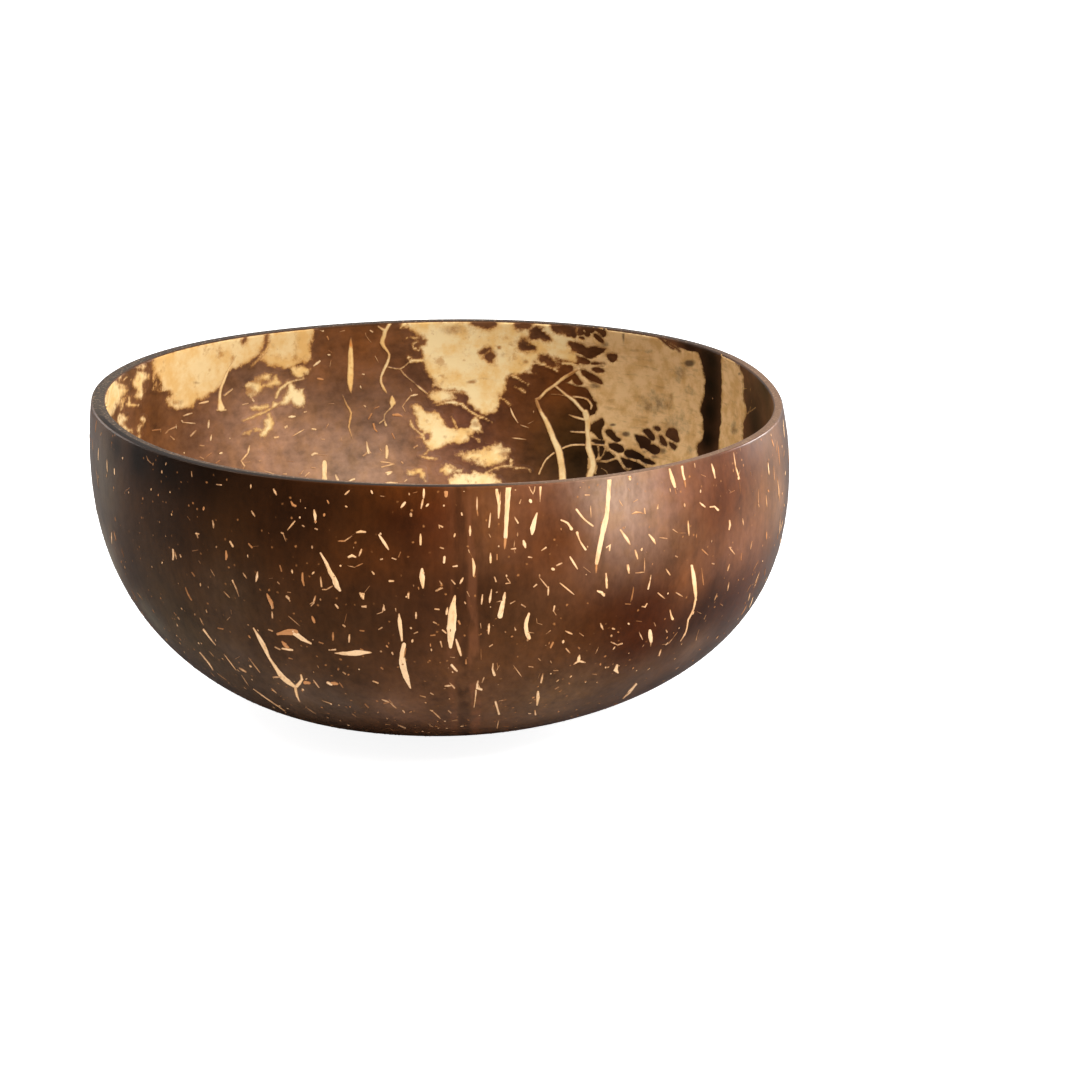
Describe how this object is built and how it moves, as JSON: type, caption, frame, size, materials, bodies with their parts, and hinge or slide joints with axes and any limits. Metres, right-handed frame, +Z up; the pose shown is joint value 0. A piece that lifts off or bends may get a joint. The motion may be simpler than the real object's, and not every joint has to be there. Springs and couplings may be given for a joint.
{
  "type": "coconut shell bowl",
  "caption": "Round open bowl cut from half a coconut shell, with a level rim, a small flat foot and scraps of pale skin left inside.",
  "frame": {"origin": "in the plane of the foot, at the middle of the foot", "axes": "+Z up through the rim, -Y towards the viewer of the picture, +X to the viewer's right"},
  "size_m": [0.1374, 0.1394, 0.062],
  "materials": {
    "shell": "polished coconut shell",
    "skin": "dry inner skin, satin",
    "vein": "dry vein, satin"
  },
  "bodies": {
    "root": {"shell": "shell", "skin_far_left": "skin", "skin_left": "skin", "skin_left_low": "skin", "skin_middle": "skin", "skin_middle_low": "skin", "skin_low": "skin", "skin_right": "skin", "skin_strip": "skin", "strand_long": "vein", "vein_left": "vein", "vein_middle": "vein", "vein_main": "vein", "vein_link": "vein", "vein_right": "vein"}
  },
  "joints": []
}
